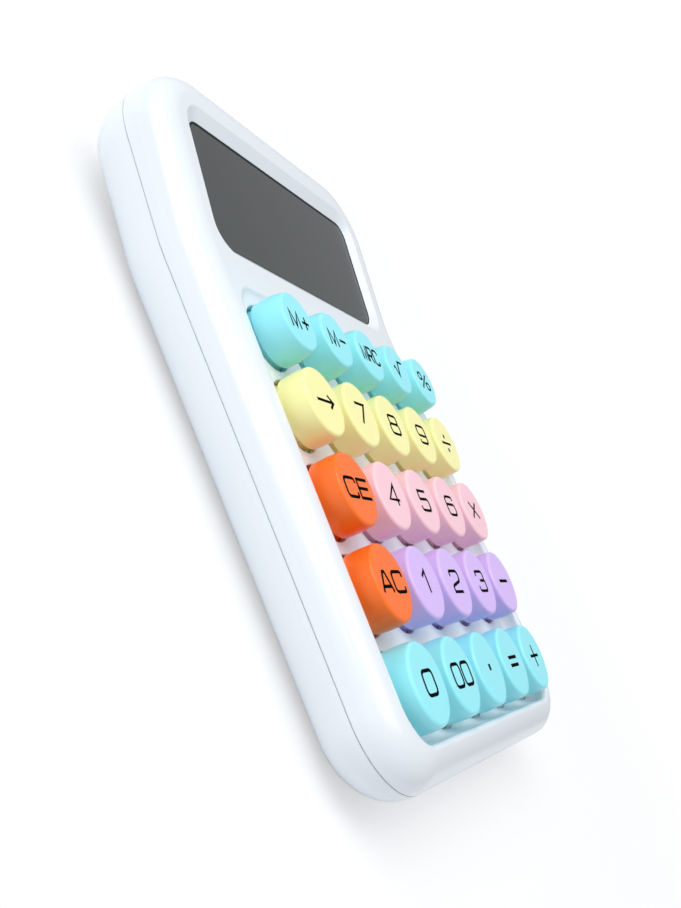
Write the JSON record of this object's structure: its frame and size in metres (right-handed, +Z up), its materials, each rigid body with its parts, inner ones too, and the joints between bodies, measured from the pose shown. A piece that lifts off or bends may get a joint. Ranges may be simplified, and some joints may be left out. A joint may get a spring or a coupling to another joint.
{
  "type": "desktop calculator",
  "caption": "Wedge-shaped desktop calculator with a tinted display window, round travelling keys in a sunken deck and a sliding battery cover.",
  "frame": {"origin": "under the middle of the housing, in the plane of the feet", "axes": "+Z up, the user at -Y, the display at +Y, +X to the user's right"},
  "size_m": [0.106, 0.155, 0.0278],
  "materials": {
    "casing_white": "moulded ABS, high gloss",
    "window_tint": "tinted acrylic, polished",
    "lcd_glass": "liquid crystal panel, off",
    "flat_cable": "flat flexible cable",
    "board_green": "lacquered circuit board",
    "silicone_grey": "moulded silicone",
    "resin_black": "cast resin",
    "cell_wrap": "steel can with a plain wrap",
    "contact_nickel": "nickel-plated spring steel",
    "screw_steel": "zinc-plated steel",
    "foot_rubber": "soft rubber",
    "cap_teal": "moulded ABS, satin gloss",
    "cap_yellow": "moulded ABS, satin gloss",
    "cap_orange": "moulded ABS, satin gloss",
    "cap_pink": "moulded ABS, satin gloss",
    "cap_purple": "moulded ABS, satin gloss"
  },
  "bodies": {
    "housing": {"battery": "cell_wrap", "casing_screw_1": "screw_steel", "casing_screw_2": "screw_steel", "casing_screw_3": "screw_steel", "casing_screw_4": "screw_steel", "circuit_board": "board_green", "control_chip": "resin_black", "display_window": "window_tint", "dome_mat": "silicone_grey", "lcd_panel": "lcd_glass", "lower_casing": "casing_white", "negative_contact": "contact_nickel", "positive_contact": "contact_nickel", "ribbon_cable": "flat_cable", "rubber_foot_1": "foot_rubber", "rubber_foot_2": "foot_rubber", "rubber_foot_3": "foot_rubber", "rubber_foot_4": "foot_rubber", "upper_casing": "casing_white"},
    "cover": {"battery_cover": "casing_white"},
    "key_1_1": {"key_cap_1_1": "cap_teal"},
    "key_1_2": {"key_cap_1_2": "cap_teal"},
    "key_1_3": {"key_cap_1_3": "cap_teal"},
    "key_1_4": {"key_cap_1_4": "cap_teal"},
    "key_1_5": {"key_cap_1_5": "cap_teal"},
    "key_2_1": {"key_cap_2_1": "cap_yellow"},
    "key_2_2": {"key_cap_2_2": "cap_yellow"},
    "key_2_3": {"key_cap_2_3": "cap_yellow"},
    "key_2_4": {"key_cap_2_4": "cap_yellow"},
    "key_2_5": {"key_cap_2_5": "cap_yellow"},
    "key_3_1": {"key_cap_3_1": "cap_orange"},
    "key_3_2": {"key_cap_3_2": "cap_pink"},
    "key_3_3": {"key_cap_3_3": "cap_pink"},
    "key_3_4": {"key_cap_3_4": "cap_pink"},
    "key_3_5": {"key_cap_3_5": "cap_pink"},
    "key_4_1": {"key_cap_4_1": "cap_orange"},
    "key_4_2": {"key_cap_4_2": "cap_purple"},
    "key_4_3": {"key_cap_4_3": "cap_purple"},
    "key_4_4": {"key_cap_4_4": "cap_purple"},
    "key_4_5": {"key_cap_4_5": "cap_purple"},
    "key_5_1": {"key_cap_5_1": "cap_teal"},
    "key_5_2": {"key_cap_5_2": "cap_teal"},
    "key_5_3": {"key_cap_5_3": "cap_teal"},
    "key_5_4": {"key_cap_5_4": "cap_teal"},
    "key_5_5": {"key_cap_5_5": "cap_teal"}
  },
  "joints": [
    {"name": "cover_slide", "type": "slide", "parent": "housing", "child": "cover", "axis": [0, 0.9936, 0.1132], "range_m": [0, 0.0115]},
    {"name": "press_1_1", "type": "slide", "parent": "housing", "child": "key_1_1", "axis": [0, 0.0837, -0.9965], "range_m": [0, 0.0025], "stiffness_N_per_m": 300, "springref_m": -0.001, "deforming": ["dome_mat"]},
    {"name": "press_1_2", "type": "slide", "parent": "housing", "child": "key_1_2", "axis": [0, 0.0837, -0.9965], "range_m": [0, 0.0025], "stiffness_N_per_m": 300, "springref_m": -0.001, "deforming": ["dome_mat"]},
    {"name": "press_1_3", "type": "slide", "parent": "housing", "child": "key_1_3", "axis": [0, 0.0837, -0.9965], "range_m": [0, 0.0025], "stiffness_N_per_m": 300, "springref_m": -0.001, "deforming": ["dome_mat"]},
    {"name": "press_1_4", "type": "slide", "parent": "housing", "child": "key_1_4", "axis": [0, 0.0837, -0.9965], "range_m": [0, 0.0025], "stiffness_N_per_m": 300, "springref_m": -0.001, "deforming": ["dome_mat"]},
    {"name": "press_1_5", "type": "slide", "parent": "housing", "child": "key_1_5", "axis": [0, 0.0837, -0.9965], "range_m": [0, 0.0025], "stiffness_N_per_m": 300, "springref_m": -0.001, "deforming": ["dome_mat"]},
    {"name": "press_2_1", "type": "slide", "parent": "housing", "child": "key_2_1", "axis": [0, 0.0837, -0.9965], "range_m": [0, 0.0025], "stiffness_N_per_m": 300, "springref_m": -0.001, "deforming": ["dome_mat"]},
    {"name": "press_2_2", "type": "slide", "parent": "housing", "child": "key_2_2", "axis": [0, 0.0837, -0.9965], "range_m": [0, 0.0025], "stiffness_N_per_m": 300, "springref_m": -0.001, "deforming": ["dome_mat"]},
    {"name": "press_2_3", "type": "slide", "parent": "housing", "child": "key_2_3", "axis": [0, 0.0837, -0.9965], "range_m": [0, 0.0025], "stiffness_N_per_m": 300, "springref_m": -0.001, "deforming": ["dome_mat"]},
    {"name": "press_2_4", "type": "slide", "parent": "housing", "child": "key_2_4", "axis": [0, 0.0837, -0.9965], "range_m": [0, 0.0025], "stiffness_N_per_m": 300, "springref_m": -0.001, "deforming": ["dome_mat"]},
    {"name": "press_2_5", "type": "slide", "parent": "housing", "child": "key_2_5", "axis": [0, 0.0837, -0.9965], "range_m": [0, 0.0025], "stiffness_N_per_m": 300, "springref_m": -0.001, "deforming": ["dome_mat"]},
    {"name": "press_3_1", "type": "slide", "parent": "housing", "child": "key_3_1", "axis": [0, 0.0837, -0.9965], "range_m": [0, 0.0025], "stiffness_N_per_m": 300, "springref_m": -0.001, "deforming": ["dome_mat"]},
    {"name": "press_3_2", "type": "slide", "parent": "housing", "child": "key_3_2", "axis": [0, 0.0837, -0.9965], "range_m": [0, 0.0025], "stiffness_N_per_m": 300, "springref_m": -0.001, "deforming": ["dome_mat"]},
    {"name": "press_3_3", "type": "slide", "parent": "housing", "child": "key_3_3", "axis": [0, 0.0837, -0.9965], "range_m": [0, 0.0025], "stiffness_N_per_m": 300, "springref_m": -0.001, "deforming": ["dome_mat"]},
    {"name": "press_3_4", "type": "slide", "parent": "housing", "child": "key_3_4", "axis": [0, 0.0837, -0.9965], "range_m": [0, 0.0025], "stiffness_N_per_m": 300, "springref_m": -0.001, "deforming": ["dome_mat"]},
    {"name": "press_3_5", "type": "slide", "parent": "housing", "child": "key_3_5", "axis": [0, 0.0837, -0.9965], "range_m": [0, 0.0025], "stiffness_N_per_m": 300, "springref_m": -0.001, "deforming": ["dome_mat"]},
    {"name": "press_4_1", "type": "slide", "parent": "housing", "child": "key_4_1", "axis": [0, 0.0837, -0.9965], "range_m": [0, 0.0025], "stiffness_N_per_m": 300, "springref_m": -0.001, "deforming": ["dome_mat"]},
    {"name": "press_4_2", "type": "slide", "parent": "housing", "child": "key_4_2", "axis": [0, 0.0837, -0.9965], "range_m": [0, 0.0025], "stiffness_N_per_m": 300, "springref_m": -0.001, "deforming": ["dome_mat"]},
    {"name": "press_4_3", "type": "slide", "parent": "housing", "child": "key_4_3", "axis": [0, 0.0837, -0.9965], "range_m": [0, 0.0025], "stiffness_N_per_m": 300, "springref_m": -0.001, "deforming": ["dome_mat"]},
    {"name": "press_4_4", "type": "slide", "parent": "housing", "child": "key_4_4", "axis": [0, 0.0837, -0.9965], "range_m": [0, 0.0025], "stiffness_N_per_m": 300, "springref_m": -0.001, "deforming": ["dome_mat"]},
    {"name": "press_4_5", "type": "slide", "parent": "housing", "child": "key_4_5", "axis": [0, 0.0837, -0.9965], "range_m": [0, 0.0025], "stiffness_N_per_m": 300, "springref_m": -0.001, "deforming": ["dome_mat"]},
    {"name": "press_5_1", "type": "slide", "parent": "housing", "child": "key_5_1", "axis": [0, 0.0837, -0.9965], "range_m": [0, 0.0025], "stiffness_N_per_m": 300, "springref_m": -0.001, "deforming": ["dome_mat"]},
    {"name": "press_5_2", "type": "slide", "parent": "housing", "child": "key_5_2", "axis": [0, 0.0837, -0.9965], "range_m": [0, 0.0025], "stiffness_N_per_m": 300, "springref_m": -0.001, "deforming": ["dome_mat"]},
    {"name": "press_5_3", "type": "slide", "parent": "housing", "child": "key_5_3", "axis": [0, 0.0837, -0.9965], "range_m": [0, 0.0025], "stiffness_N_per_m": 300, "springref_m": -0.001, "deforming": ["dome_mat"]},
    {"name": "press_5_4", "type": "slide", "parent": "housing", "child": "key_5_4", "axis": [0, 0.0837, -0.9965], "range_m": [0, 0.0025], "stiffness_N_per_m": 300, "springref_m": -0.001, "deforming": ["dome_mat"]},
    {"name": "press_5_5", "type": "slide", "parent": "housing", "child": "key_5_5", "axis": [0, 0.0837, -0.9965], "range_m": [0, 0.0025], "stiffness_N_per_m": 300, "springref_m": -0.001, "deforming": ["dome_mat"]}
  ]
}
